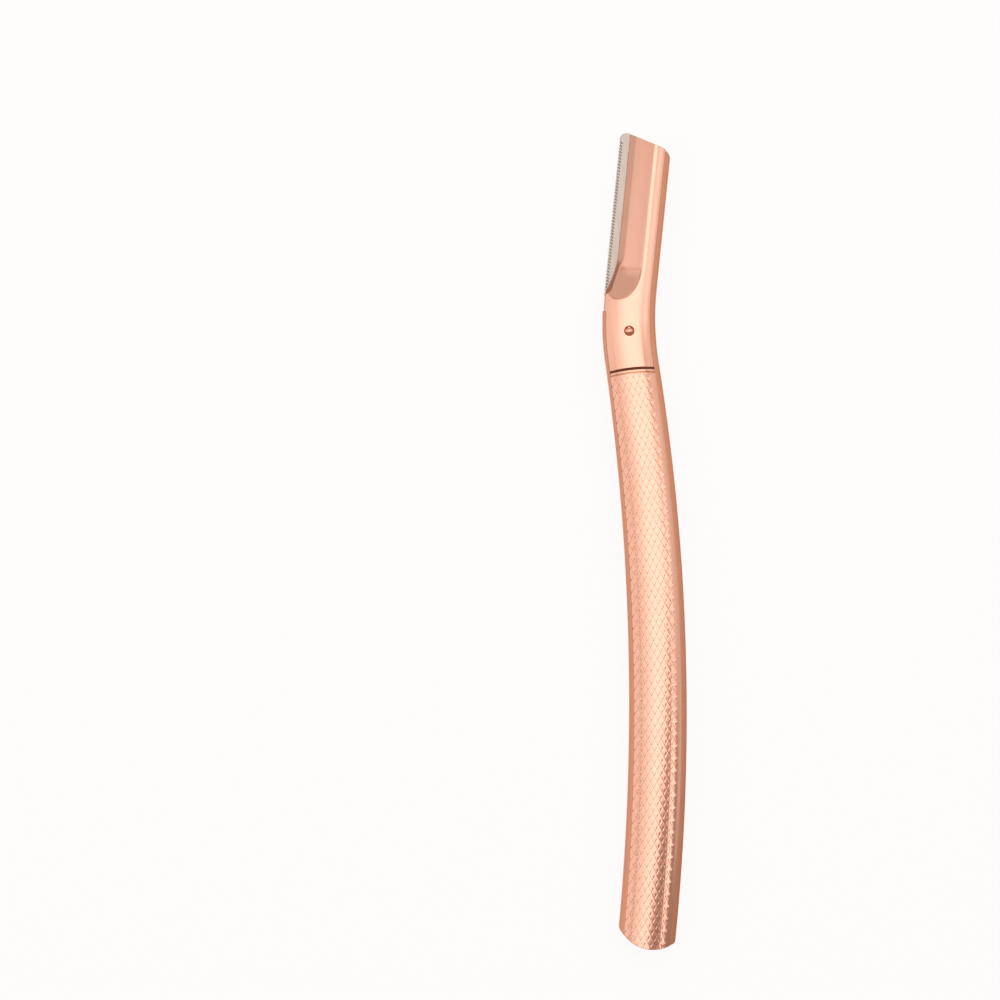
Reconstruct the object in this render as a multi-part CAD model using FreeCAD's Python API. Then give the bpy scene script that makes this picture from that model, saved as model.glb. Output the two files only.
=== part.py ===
# Eyebrow razor lying on its back: a bowed, pinned sandwich of a frame, two head covers, two crowned
# grip scales, a blade and its toothed guard. X runs from the blade side to the spine, Y runs towards
# the head and Z rises from the table. The origin is the bottom centre of the whole razor.

import math
import os

import FreeCAD
import Part

Vector = FreeCAD.Vector
rising = Vector(0, 0, 1)
middle = Vector(0, 0, 0)

# Head, measured from the root of the blade edge (millimetres and degrees)
head_width = 9.57
head_rise = 31.0
head_lean = 5.8
top_slope = 18.5
spine_corner = 2.2
blade_corner = 1.2

# Neck bend and bowed grip, with a radius of its own for each side
blade_neck_radius = 47.7
spine_neck_radius = 51.3
spine_neck_lead = 2.3
neck_turn = 14.4
grip_flare = 0.95
blade_bow_radius = 445.5
spine_bow_radius = 409.8
handle_length = 120.58
butt_radius = 7.0
butt_skew = 5.85
butt_corner = 1.0

# Thickness of the sandwich
frame_thickness = 4.0
web_thickness = 1.8
crown_height = 2.8
crown_radius = 10.4
crown_share = 0.9
rail_width = 0.95
rail_round = 0.85
rail_step = 0.1

# Clearances
seam = 0.05
blade_play = 0.03

# Groove across the face, between the head cover and the grip scale
groove_station = 14.03
groove_width = 0.4
groove_arch_radius = 27.0
groove_skew = 2.9

# Grip scale, which stands proud of the smooth neck by the depth of its knurl, and the notch under its lip
knurl_depth = 0.15
lip_width = 0.42
notch_width = 0.25

# Head cover: lip over the blade, scooped facet and the ear that closes on the shoulder
blade_exposure = 1.85
lip_arc_start = 8.6
lip_arc_radius = 17.0
lip_height = 0.45
lip_bevel_angle = 38.0
facet_edge_height = 0.9
facet_hollow = 0.12
ridge_inset = 3.0
scoop_root = 6.2
scoop_swing = 100.0
ear_setback = 0.18
shoulder_drop = 2.5

# Blade and its toothed guard
blade_thickness = 0.3
blade_width = 5.12
blade_edge_inset = 0.2
blade_bevel = 0.7
blade_foot = 0.3
tang_length = 1.9
tang_inset = 1.4
stud_diameter = 1.3
stud_reach = 0.35
lower_stud_rise = 8.0
upper_stud_drop = 6.0
guard_thickness = 0.12
guard_depth = 2.6
guard_inset = 0.03
tooth_pitch = 0.58
tooth_gap = 0.2
tooth_depth = 0.75
tooth_slant = 40.0

# Neck pin
pin_station = 6.85
pin_diameter = 1.3
pin_head_diameter = 1.9
pin_head_height = 0.45
pin_sink = 0.3

# Pegs of the grip scales and the cored windows of the web between them
peg_diameter = 1.8
peg_length = 0.75
peg_count = 6
peg_margin = 8.0
window_width = 3.6
window_margin = 3.0

# Room by which cutting tools pass the solid that they cut
overrun = 12.0


def along(angle):
    return Vector(math.sin(angle), math.cos(angle), 0)


def across(angle):
    return Vector(math.cos(angle), -math.sin(angle), 0)


lean = math.radians(head_lean)


# One line down the handle as seen from the front: straight head, neck arc, then the bowed grip.
# A station counts millimetres down the line from the start of the neck, so the head is negative.
class Course:
    def __init__(self, start, neck_radius, turn, bow_radius):
        self.start = start
        self.neck_radius = neck_radius
        self.turn = turn
        self.bow_radius = bow_radius
        self.neck_length = neck_radius * turn
        self.neck_centre = start + across(lean) * neck_radius
        bend = self.neck_centre - across(lean - turn) * neck_radius
        self.bow_centre = bend - across(lean - turn) * bow_radius

    def angle(self, station):
        if station <= 0:
            return lean
        if station <= self.neck_length:
            return lean - station / self.neck_radius
        return lean - self.turn + (station - self.neck_length) / self.bow_radius

    def point(self, station):
        angle = self.angle(station)
        if station <= 0:
            return self.start - along(lean) * station
        if station <= self.neck_length:
            return self.neck_centre - across(angle) * self.neck_radius
        return self.bow_centre + across(angle) * self.bow_radius

    # The same line moved sideways, positive towards the spine
    def moved(self, distance):
        start = self.start + across(lean) * distance
        return Course(start, self.neck_radius - distance, self.turn, self.bow_radius + distance)

    def edges(self, top, bottom):
        neck_end = self.neck_length
        head = Part.LineSegment(self.point(-top), self.point(0))
        neck = Part.Arc(self.point(0), self.point(neck_end / 2), self.point(neck_end))
        bow_middle = (neck_end + bottom) / 2
        bow = Part.Arc(self.point(neck_end), self.point(bow_middle), self.point(bottom))
        return [head.toShape(), neck.toShape(), bow.toShape()]


half_flare = grip_flare / 2
blade_side = Course(middle, blade_neck_radius, math.radians(neck_turn - half_flare), blade_bow_radius)
spine_start = across(lean) * head_width + along(lean) * spine_neck_lead
spine_side = Course(spine_start, spine_neck_radius, math.radians(neck_turn + half_flare), spine_bow_radius)
centre_line = Course(
    spine_start * 0.5,
    (blade_neck_radius + spine_neck_radius) / 2,
    math.radians(neck_turn),
    (blade_bow_radius + spine_bow_radius) / 2,
)
top_reach = head_rise + overrun
bottom_reach = handle_length + overrun
half_frame = frame_thickness / 2
half_web = web_thickness / 2
half_blade = blade_thickness / 2
tall = crown_height + overrun


# A place on the head: distance from the blade edge towards the spine, rise from the blade root, height
def head_place(inward, rise, height=0.0):
    return across(lean) * inward + along(lean) * rise + rising * height


def prism(points, low, high):
    face = Part.Face(Part.makePolygon(points + points[:1]))
    face.translate(rising * low)
    return face.extrude(rising * (high - low))


# The strip between two courses, from past the head to past the butt
def bar(left, right, low, high):
    left_edges = left.edges(top_reach, bottom_reach)
    right_edges = right.edges(top_reach, bottom_reach)
    foot = Part.LineSegment(left.point(bottom_reach), right.point(bottom_reach)).toShape()
    crest = Part.LineSegment(left.point(-top_reach), right.point(-top_reach)).toShape()
    edges = Part.sortEdges(left_edges + right_edges + [foot, crest])[0]
    face = Part.Face(Part.Wire(edges))
    face.translate(rising * low)
    return face.extrude(rising * (high - low))


# Everything on one side of a line: a corner of the line, its direction, and the side that it fills
def half_space(corner, direction, side):
    span = direction * bottom_reach
    depth = side * bottom_reach
    points = [corner - span, corner + span, corner + span + depth, corner - span + depth]
    return prism(points, -tall, tall)


def is_upright(edge):
    return abs(edge.tangentAt(edge.FirstParameter).z) > 0.5


def round_corner(solid, corner, radius):
    upright = [e for e in solid.Edges if is_upright(e)]
    edge = min(upright, key=lambda e: math.hypot(e.CenterOfMass.x - corner.x, e.CenterOfMass.y - corner.y))
    return solid.makeFillet(radius, [edge])


butt_angle = centre_line.angle(handle_length) + math.radians(butt_skew)


# Everything past the round butt, which the frame and both scales end on
def beyond_butt(radius):
    centre = centre_line.point(handle_length) + along(butt_angle) * butt_radius
    disc = Part.makeCylinder(radius, 2 * tall, centre - rising * tall)
    return half_space(centre, across(butt_angle), -along(butt_angle)).cut(disc)


# Outline of the whole razor seen from the front, with its sloped top, round butt and small corners
def whole_outline():
    strip = bar(blade_side, spine_side, -tall, tall)
    slope = lean + math.radians(top_slope)
    top = head_place(0, head_rise)
    strip = strip.cut(half_space(top, across(slope), along(slope)))
    strip = strip.cut(beyond_butt(butt_radius))
    spine_top = top + across(slope) * (head_width / math.cos(math.radians(top_slope)))
    strip = round_corner(strip, spine_top, spine_corner)
    strip = round_corner(strip, top, blade_corner)
    strip = round_corner(strip, blade_side.point(handle_length), butt_corner)
    return round_corner(strip, spine_side.point(handle_length), butt_corner)


# Distance from the middle of the handle to its crown, at a sideways offset from the centre line
def crown(offset):
    return crown_height - crown_radius + math.sqrt(crown_radius ** 2 - offset ** 2)


# Smooth crowned bar over the middle plane: one rounded section carried down head, neck and grip
def crowned_bar():
    half = crown_share * crown_radius
    side = across(lean) * half
    root = centre_line.start
    arc = Part.Arc(
        root - side + rising * crown(half),
        root + rising * crown_height,
        root + side + rising * crown(half),
    )
    floor_drop = rising * (crown(half) - overrun)
    corners = [root + side + rising * crown(half), root + side + floor_drop]
    corners += [root - side + floor_drop, root - side + rising * crown(half)]
    section = Part.Face(Part.Wire([arc.toShape()] + Part.makePolygon(corners).Edges))
    head = section.extrude(along(lean) * top_reach)
    turn = math.degrees(centre_line.turn)
    neck = section.revolve(centre_line.neck_centre, rising, turn)
    section.rotate(centre_line.neck_centre, rising, turn)
    bow_turn = math.degrees((bottom_reach - centre_line.neck_length) / centre_line.bow_radius)
    bow = section.revolve(centre_line.bow_centre, rising, -bow_turn)
    return head.fuse([neck, bow]).removeSplitter()


outline = whole_outline()
crowned = crowned_bar()
inner_left = blade_side.moved(rail_width)
inner_right = spine_side.moved(-rail_width)
blade_root_line = blade_edge_inset + blade_width
stud_inset = (guard_depth + blade_root_line) / 2
stud_rises = (lower_stud_rise, head_rise - upper_stud_drop)
blade_slot_half = half_blade + blade_play
guard_half = blade_slot_half + guard_thickness


def post(place, diameter, low, high):
    return Part.makeCylinder(diameter / 2, high - low, Vector(place.x, place.y, low))


def mirrored(shape):
    return shape.mirror(middle, rising)


# A block on the head between two distances from the blade edge and two rises, about the middle plane
def head_block(inner, outer, low, high, half):
    near = [head_place(inner, low), head_place(outer, low)]
    far = [head_place(outer, high), head_place(inner, high)]
    return prism(near + far, -half, half)


# Everything above the shoulder of the frame, moved up by a gap
def above_shoulder(gap):
    return half_space(head_place(0, gap - shoulder_drop), across(lean), along(lean))


# Seat of the blade: the part of the head between its edge and a line down the middle of the head
def blade_seat(edge_line, gap):
    return above_shoulder(gap).common(half_space(head_place(edge_line, 0), along(lean), -across(lean)))


# Stations of the scale pegs along the centre line, evenly spread over the grip
def peg_stations():
    first = groove_station + peg_margin
    last = handle_length - peg_margin
    return [first + (last - first) * n / (peg_count - 1) for n in range(peg_count)]


# Round-ended slot through the web, between two stations of the centre line
def window(start, end):
    first = centre_line.point(start)
    last = centre_line.point(end)
    side = across(centre_line.angle((start + end) / 2)) * (window_width / 2)
    slot = prism([first - side, last - side, last + side, first + side], -tall, tall)
    return slot.fuse([post(first, window_width, -tall, tall), post(last, window_width, -tall, tall)])


# Frame: rails that carry the crown on to a rounded edge, joined by a web with a seat for the blade
def centre_frame():
    slab = bar(blade_side, spine_side, -half_frame, half_frame).common(outline)
    rims = [e for e in slab.Edges if not is_upright(e)]
    frame = slab.makeFillet(min(rail_round, rail_width - seam), rims)
    lowered = crowned.copy()
    lowered.translate(rising * -rail_step)
    frame = frame.common(lowered).common(mirrored(lowered))
    pocket = bar(inner_left, inner_right, half_web, tall)
    open_side = bar(blade_side.moved(-overrun), inner_right, half_web, tall)
    pocket = pocket.fuse(open_side.common(above_shoulder(0)))
    frame = frame.cut([pocket, mirrored(pocket), blade_seat(blade_root_line + seam, 0)])
    stations = peg_stations()
    holes = [post(centre_line.point(s), peg_diameter + 2 * seam, -tall, tall) for s in stations]
    holes.append(post(centre_line.point(pin_station), pin_diameter + 2 * seam, -tall, tall))
    reach = peg_diameter / 2 + window_margin
    holes += [window(a + reach, b - reach) for a, b in zip(stations, stations[1:])]
    return frame.cut(holes)


# Circle of the arched groove: the cover stops outside it and the scale inside it
def groove_circle():
    angle = centre_line.angle(groove_station) + math.radians(groove_skew)
    return centre_line.point(groove_station) - along(angle) * groove_arch_radius, angle


lip_centre = head_place(blade_exposure - lip_arc_radius, lip_arc_start)
lip_turn = math.acos(1 - (blade_exposure - ear_setback) / lip_arc_radius)


# Opening beside the blade: a straight lip that curves in to close on the blade root
def blade_opening():
    start = head_place(blade_exposure, lip_arc_start)
    halfway = lip_centre + across(lean + lip_turn / 2) * lip_arc_radius
    end = lip_centre + across(lean + lip_turn) * lip_arc_radius
    low_corner = end - across(lean) * overrun
    high_corner = head_place(-overrun, top_reach)
    lip_top = head_place(blade_exposure, top_reach)
    curve = Part.Arc(start, halfway, end).toShape()
    straight = Part.makePolygon([end, low_corner, high_corner, lip_top, start])
    face = Part.Face(Part.Wire([curve] + straight.Edges))
    face.translate(rising * -tall)
    return face.extrude(rising * 2 * tall)


# Bevel of the lip: a sloped cut along the blade that follows the lip round its curve
def lip_bevel():
    rise = head_width * math.tan(math.radians(lip_bevel_angle))
    corners = [
        head_place(blade_exposure, lip_arc_start, lip_height),
        head_place(blade_exposure + head_width, lip_arc_start, lip_height + rise),
        head_place(blade_exposure, lip_arc_start, lip_height + rise),
    ]
    section = Part.Face(Part.makePolygon(corners + corners[:1]))
    straight = section.extrude(along(lean) * top_reach)
    return [straight, section.revolve(lip_centre, rising, -math.degrees(lip_turn))]


# Scooped facet: a hollow-ground cut along the blade that swings round to the blade side at its root
def scoop():
    ridge = head_width - ridge_inset
    ridge_height = crown(ridge - head_width / 2)
    sag_place = (blade_exposure + ridge) / 2
    sag_height = (facet_edge_height + ridge_height) / 2 - facet_hollow
    edge = head_place(blade_exposure, scoop_root, facet_edge_height)
    crest = head_place(ridge, scoop_root, ridge_height)
    hollow = Part.Arc(edge, head_place(sag_place, scoop_root, sag_height), crest)
    leaving = hollow.tangent(hollow.LastParameter)[0]
    beyond = crest + leaving * head_width
    outer = [crest, beyond, Vector(beyond.x, beyond.y, tall)]
    outer += [head_place(0, scoop_root, tall), head_place(0, scoop_root, facet_edge_height), edge]
    section = Part.Face(Part.Wire([hollow.toShape()] + Part.makePolygon(outer).Edges))
    straight = section.extrude(along(lean) * top_reach)
    return [straight, section.revolve(head_place(0, scoop_root), rising, -scoop_swing)]


# Room that the covers leave for the blade and the guard
def blade_room():
    foot = blade_foot - seam
    guard = head_block(-overrun, guard_depth + seam, foot, top_reach, guard_half + blade_play)
    strip = head_block(-overrun, blade_root_line + seam, foot, top_reach, blade_slot_half)
    tang_foot = foot - tang_length
    tang = head_block(tang_inset - seam, blade_root_line + seam, tang_foot, top_reach, blade_slot_half)
    return [guard, strip, tang]


# Head cover before its fastenings: smooth crown, bevelled lip, scooped facet and hollow underside
def head_cover():
    right = inner_right.moved(-seam)
    plan = bar(inner_left.moved(seam), right, 0, tall)
    ear = bar(blade_side.moved(ear_setback), right, 0, tall)
    plan = plan.fuse(ear.common(above_shoulder(seam))).common(outline)
    grip = below_arch(groove_arch_radius + groove_width)
    cover = plan.cut([grip, blade_opening()]).common(crowned)
    cover = cover.cut(scoop())
    cover = cover.cut(lip_bevel())
    web = bar(blade_side.moved(-overrun), spine_side, -half_web, half_web)
    cover = cover.cut(web.cut(blade_seat(blade_root_line, seam)))
    cover = cover.cut(blade_room())
    pin_place = centre_line.point(pin_station)
    shank = post(pin_place, pin_diameter + 2 * seam, -tall, tall)
    head = post(pin_place, pin_head_diameter + 2 * seam, crown_height - pin_sink, tall)
    return cover.cut([shank, head])


# The front cover carries two studs that pass through the blade into sockets of the back cover
def front_head_cover():
    studs = []
    for rise in stud_rises:
        place = head_place(stud_inset, rise)
        studs.append(post(place, stud_diameter, -blade_slot_half - stud_reach, half_web / 2))
    return head_cover().fuse(studs).removeSplitter()


def back_head_cover():
    sockets = []
    for rise in stud_rises:
        place = head_place(stud_inset, rise)
        sockets.append(post(place, stud_diameter + 2 * seam, -blade_slot_half - stud_reach - seam, 0))
    return mirrored(head_cover()).cut(sockets)


# Blade: a thin strip ground to an edge on both faces, with a narrow tang and two stud holes
def razor_blade():
    inner = blade_edge_inset + blade_bevel
    corners = [
        head_place(blade_edge_inset, blade_foot),
        head_place(inner, blade_foot, half_blade),
        head_place(blade_root_line, blade_foot, half_blade),
        head_place(blade_root_line, blade_foot, -half_blade),
        head_place(inner, blade_foot, -half_blade),
    ]
    section = Part.Face(Part.makePolygon(corners + corners[:1]))
    strip = section.extrude(along(lean) * top_reach)
    tang = head_block(tang_inset, blade_root_line, blade_foot - tang_length, blade_foot, half_blade)
    hole = stud_diameter + 2 * seam
    holes = [post(head_place(stud_inset, rise), hole, -tall, tall) for rise in stud_rises]
    return strip.fuse(tang).removeSplitter().common(outline).cut(holes)


# Guard: a folded foil over the blade edge, slit into fine slanted teeth along its nose
def blade_guard():
    channel = blade_edge_inset - seam
    nose = guard_inset + guard_half
    arc = Part.Arc(
        head_place(nose, blade_foot, guard_half),
        head_place(guard_inset, blade_foot),
        head_place(nose, blade_foot, -guard_half),
    )
    corners = [
        head_place(nose, blade_foot, -guard_half),
        head_place(guard_depth, blade_foot, -guard_half),
        head_place(guard_depth, blade_foot, -blade_slot_half),
        head_place(channel, blade_foot, -blade_slot_half),
        head_place(channel, blade_foot, blade_slot_half),
        head_place(guard_depth, blade_foot, blade_slot_half),
        head_place(guard_depth, blade_foot, guard_half),
        head_place(nose, blade_foot, guard_half),
    ]
    section = Part.Face(Part.Wire([arc.toShape()] + Part.makePolygon(corners).Edges))
    foil = section.extrude(along(lean) * top_reach).common(outline)
    slant = lean + math.radians(tooth_slant)
    half_gap = along(slant) * (tooth_gap / 2)
    inward = across(slant) * (tooth_depth / math.cos(math.radians(tooth_slant)))
    toothed = head_rise - blade_corner - blade_foot - 2 * tooth_pitch
    slits = []
    for n in range(int(toothed / tooth_pitch) + 1):
        mouth = head_place(0, blade_foot + tooth_pitch * (n + 1.5))
        tip = mouth + inward
        far = mouth - inward
        slits.append(prism([far - half_gap, tip - half_gap, tip + half_gap, far + half_gap], -tall, tall))
    return foil.cut(slits)


# Pin: a straight shank with a low domed head on each cover
def neck_pin():
    place = centre_line.point(pin_station)
    seat = crown_height - pin_sink
    top = seat + pin_head_height
    shank = Vector(pin_diameter / 2, 0, 0)
    rim = Vector(pin_head_diameter / 2, 0, 0)
    dome_radius = (rim.x ** 2 + pin_head_height ** 2) / (2 * pin_head_height)
    half_way = rim.x / 2
    half_rise = math.sqrt(dome_radius ** 2 - half_way ** 2) - dome_radius + top
    upper = Part.Arc(rising * top, Vector(half_way, 0, half_rise), rim + rising * seat)
    lower = Part.Arc(rim - rising * seat, Vector(half_way, 0, -half_rise), rising * -top)
    corners = [rim + rising * seat, shank + rising * seat, shank - rising * seat, rim - rising * seat]
    edges = [upper.toShape()] + Part.makePolygon(corners).Edges + [lower.toShape()]
    edges.append(Part.LineSegment(rising * -top, rising * top).toShape())
    pin = Part.Face(Part.Wire(edges)).revolve(middle, rising, 360)
    pin.translate(place)
    return pin


# Disc, or the rest of the grip below it, that an arch across the face encloses
def below_arch(radius):
    centre, angle = groove_circle()
    disc = Part.makeCylinder(radius, 2 * tall, centre - rising * tall)
    return disc.fuse(half_space(centre, across(angle), -along(angle)))


# Grip scale: a crowned plate between the rails, from the groove to the butt, with pegs for the web
def grip_scale():
    plate = bar(inner_left.moved(seam), inner_right.moved(-seam), half_web, tall)
    plate = plate.common(below_arch(groove_arch_radius)).cut(beyond_butt(butt_radius - seam))
    raised = crowned.copy()
    raised.translate(rising * knurl_depth)
    under_lip = groove_arch_radius - lip_width
    notch = below_arch(under_lip).cut(below_arch(under_lip - notch_width))
    plate = plate.common(raised).cut(notch.cut(crowned))
    pegs = [post(centre_line.point(s), peg_diameter, half_web - peg_length, half_web) for s in peg_stations()]
    return plate.fuse(pegs).removeSplitter()


front_scale = grip_scale()
pieces = {
    "centre_frame": centre_frame(),
    "front_head_cover": front_head_cover(),
    "back_head_cover": back_head_cover(),
    "front_grip_scale": front_scale,
    "back_grip_scale": mirrored(front_scale),
    "razor_blade": razor_blade(),
    "blade_guard": blade_guard(),
    "neck_pin": neck_pin(),
}

# Stand the razor on its back, with the origin at the bottom centre of its box
box = Part.makeCompound(list(pieces.values())).optimalBoundingBox(False, False)
stand = Vector(-box.Center.x, -box.Center.y, -box.ZMin)
os.makedirs("parts", exist_ok=True)
for name, shape in pieces.items():
    shape.translate(stand)
    shape.exportStep("parts/" + name + ".step")
    facts = (len(shape.Solids), len(shape.Faces), round(shape.Volume, 2))
    print(name, "valid" if shape.isValid() else "broken", "solids, faces, volume:", *facts)
print("box", round(box.XLength, 3), round(box.YLength, 3), round(box.ZLength, 3), "moved by", stand)
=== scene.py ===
from math import atan2, cos, pi, radians, sin, tan

import bmesh
import bpy
import numpy as np
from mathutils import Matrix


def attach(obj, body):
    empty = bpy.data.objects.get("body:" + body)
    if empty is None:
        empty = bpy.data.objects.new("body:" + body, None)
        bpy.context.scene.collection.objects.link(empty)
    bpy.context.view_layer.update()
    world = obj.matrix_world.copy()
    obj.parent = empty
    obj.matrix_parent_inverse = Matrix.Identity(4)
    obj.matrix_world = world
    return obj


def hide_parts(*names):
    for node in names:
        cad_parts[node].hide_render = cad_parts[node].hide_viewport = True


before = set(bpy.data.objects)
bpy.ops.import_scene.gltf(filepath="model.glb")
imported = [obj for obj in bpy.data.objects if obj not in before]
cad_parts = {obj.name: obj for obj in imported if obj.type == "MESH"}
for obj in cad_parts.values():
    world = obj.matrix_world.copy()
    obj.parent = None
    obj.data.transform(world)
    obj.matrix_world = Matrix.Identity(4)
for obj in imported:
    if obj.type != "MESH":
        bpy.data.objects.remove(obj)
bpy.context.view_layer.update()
print("frame loaded:", sorted(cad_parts))

# sizes are written in millimetres and degrees, and become metres when a mesh is made
mm = 0.001

# how finely curves are drawn, and the small distances by which meshes are cut and joined
sampling = {
    "stations": 1500,  # along a line down the handle
    "pastTop": 6.0,
    "pastButt": 12.0,
    "curve": 300,  # along a curve across the handle
    "buttStations": 3000,
    "pastCorners": 6.0,
    "passes": 6,  # for sides and ends that depend on each other
    "split": 1e-5,
    "weld": 1e-4,
    "merge": 2e-7,  # in metres
}

handle = {
    "headWidth": 9.57,
    "headRise": 31.0,
    "headLean": 5.8,
    "topSlope": 18.5,
    "spineCorner": 2.2,
    "bladeCorner": 1.2,
    "spineNeckLead": 2.3,
    "neckRadii": (47.7, 51.3),  # of the blade side and the spine side
    "bowRadii": (445.5, 409.8),
    "neckTurn": 14.4,
    "gripFlare": 0.95,
    "length": 120.58,
    "buttRadius": 7.0,
    "buttSkew": 5.85,
    "buttCorner": 1.0,
    "buttSpread": 75.0,  # to each side of the butt's middle
    "crownHeight": 2.8,
    "crownRadius": 10.4,
    "railWidth": 0.95,
    "railStations": (14, 45, 105),  # of the blade-side rail
    "railWidths": (0.52, 0.66, 0.95),
    "seam": 0.05,
    "sharpAngle": 40.0,
    "place": (-7.50917, 44.72484, 2.95),  # from the blade root to the razor's own origin
}
lean, topSlope = radians(handle["headLean"]), radians(handle["topSlope"])


def along(angle):
    return np.stack([np.sin(angle), np.cos(angle)], -1)


def across(angle):
    return np.stack([np.cos(angle), -np.sin(angle)], -1)


# a line down the handle: straight head, neck arc, bowed grip; stations run down from the neck
class Course:
    def __init__(self, start, neckRadius, turn, bowRadius):
        self.start, self.turn = start, turn
        self.neckRadius, self.bowRadius = neckRadius, bowRadius
        self.neckLength = neckRadius * turn
        self.neckCentre = start + across(lean) * neckRadius
        bend = self.neckCentre - across(lean - turn) * neckRadius
        self.bowCentre = bend - across(lean - turn) * bowRadius

    def moved(self, distance):
        start = self.start + across(lean) * distance
        return Course(start, self.neckRadius - distance, self.turn, self.bowRadius + distance)

    def angle(self, station):
        neck = lean - np.clip(station, 0, self.neckLength) / self.neckRadius
        return neck + np.maximum(station - self.neckLength, 0) / self.bowRadius

    def place(self, station, offset=0.0):
        station, offset = np.broadcast_arrays(station, offset)
        side = across(self.angle(station))
        head = self.start - along(lean) * station[..., None] + across(lean) * offset[..., None]
        neck = self.neckCentre - side * (self.neckRadius - offset)[..., None]
        bow = self.bowCentre + side * (self.bowRadius + offset)[..., None]
        inNeck = (station <= self.neckLength)[..., None]
        return np.where((station <= 0)[..., None], head, np.where(inNeck, neck, bow))

    # station and sideways offset of points in the plane
    def unroll(self, points):
        rise = (points - self.start) @ along(lean)
        side = (points - self.start) @ across(lean)
        fromNeck = points - self.neckCentre
        fromBow = points - self.bowCentre
        neckAngle = np.arctan2(fromNeck[..., 1], -fromNeck[..., 0])
        bowAngle = np.arctan2(-fromBow[..., 1], fromBow[..., 0])
        neckStation = (lean - neckAngle) * self.neckRadius
        bowStation = self.neckLength + (bowAngle - lean + self.turn) * self.bowRadius
        neckOffset = self.neckRadius - np.linalg.norm(fromNeck, axis=-1)
        bowOffset = np.linalg.norm(fromBow, axis=-1) - self.bowRadius
        inNeck = neckStation <= self.neckLength
        station = np.where(rise >= 0, -rise, np.where(inNeck, neckStation, bowStation))
        offset = np.where(rise >= 0, side, np.where(inNeck, neckOffset, bowOffset))
        return station, offset


spineStart = across(lean) * handle["headWidth"] + along(lean) * handle["spineNeckLead"]
turns = [radians(handle["neckTurn"] + side * handle["gripFlare"] / 2) for side in (-1, 1, 0)]
starts = (np.zeros(2), spineStart, spineStart / 2)
neckRadii, bowRadii = [(*radii, sum(radii) / 2) for radii in (handle["neckRadii"], handle["bowRadii"])]
bladeSide, spineSide, centreLine = [Course(*line) for line in zip(starts, neckRadii, turns, bowRadii)]
centreRise = handle["spineNeckLead"] / 2
centreInward = handle["headWidth"] / 2
sampleStations = np.linspace(
    -handle["headRise"] - sampling["pastTop"],
    handle["length"] + sampling["pastButt"],
    sampling["stations"],
)


# a course as a function: its offset from the centre line at each station
def offsetOf(course):
    station, offset = centreLine.unroll(course.place(sampleStations))
    return lambda at: np.interp(at, station, offset)


bladeEdge = offsetOf(bladeSide)
spineEdge = offsetOf(spineSide)


# width of the blade-side rail, which widens down the grip
def bladeRail(station):
    return np.interp(station, handle["railStations"], handle["railWidths"])


# the seams beside the two rails, between which covers and scales lie
def bladeSeam(station):
    return bladeEdge(station) + bladeRail(station) + handle["seam"]


spineSeam = offsetOf(spineSide.moved(-handle["railWidth"] - handle["seam"]))


# a curve across the handle as a function: its station at each offset
def stationOf(points):
    station, offset = centreLine.unroll(points)
    order = np.argsort(offset)
    return lambda at: np.interp(at, offset[order], station[order])


def circlePoints(centre, radius, start, end):
    return centre + along(np.linspace(start, end, sampling["curve"])) * radius


def crown(offset):
    radius = handle["crownRadius"]
    return handle["crownHeight"] - radius + np.sqrt(radius ** 2 - offset ** 2)


# distance in from the blade edge and rise above the blade root, on the straight head
def headCoords(points):
    return points @ across(lean), points @ along(lean)


def headPlace(inward, rise):
    return np.multiply.outer(inward, across(lean)) + np.multiply.outer(rise, along(lean))


# rise of the centre of a round corner that touches the sloped top
def cornerRise(inward, radius):
    return handle["headRise"] - inward * tan(topSlope) - radius / cos(topSlope)


# rise of the sloped top with its two round corners
def topRise(inward):
    rise = handle["headRise"] - inward * tan(topSlope)
    corners = ((0.0, handle["bladeCorner"], -1), (handle["headWidth"], handle["spineCorner"], 1))
    for corner, radius, side in corners:
        centre = corner - side * radius
        reach = np.clip((inward - centre) * side, -radius, radius)
        curved = cornerRise(centre, radius) + np.sqrt(radius ** 2 - reach ** 2)
        rise = np.where(reach > side * radius * sin(topSlope), curved, rise)
    return rise


def topStation(offset):
    return centreRise - topRise(offset + centreInward)


buttAngle = centreLine.angle(handle["length"]) + radians(handle["buttSkew"])
buttCentre = centreLine.place(handle["length"]) + along(buttAngle) * handle["buttRadius"]


# the round butt with its small corners, as stations across the handle
def roundedButt():
    ends, corners = [], []
    small = handle["buttCorner"]
    last = handle["length"] + sampling["pastCorners"]
    stations = np.linspace(handle["length"] - handle["buttRadius"], last, sampling["buttStations"])
    for course, side in ((bladeSide, 1), (spineSide, -1)):
        inner = course.moved(side * small)
        gaps = np.linalg.norm(inner.place(stations) - buttCentre, axis=-1)
        station = stations[np.argmin(np.abs(gaps - handle["buttRadius"] + small))]
        centre = inner.place(station)
        outward = atan2(*(-side * across(inner.angle(station)))) % (2 * pi)
        downward = atan2(*(centre - buttCentre)) % (2 * pi)
        corners.append(circlePoints(centre, small, outward, downward))
        ends.append(downward)
    arc = circlePoints(buttCentre, handle["buttRadius"], *ends)
    return stationOf(np.concatenate(corners + [arc]))


# the round butt without its corners, at a gap inside the outline
def plainButt(gap):
    spread = radians(handle["buttSpread"])
    middle = buttAngle + pi
    radius = handle["buttRadius"] - gap
    return stationOf(circlePoints(buttCentre, radius, middle - spread, middle + spread))


# distance in from the round butt
def fromButt(station, offset):
    place = centreLine.place(station, offset) - buttCentre
    inside = handle["buttRadius"] - handle["seam"] - np.linalg.norm(place, axis=-1)
    return np.where(place @ along(buttAngle) < 0, np.maximum(inside, 0), np.inf)


groove = {"station": 14.03, "width": 0.4, "archRadius": 27.0, "skew": 2.9, "spread": 20.0}
grooveAngle = centreLine.angle(groove["station"]) + radians(groove["skew"])
grooveCentre = centreLine.place(groove["station"]) - along(grooveAngle) * groove["archRadius"]


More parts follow.
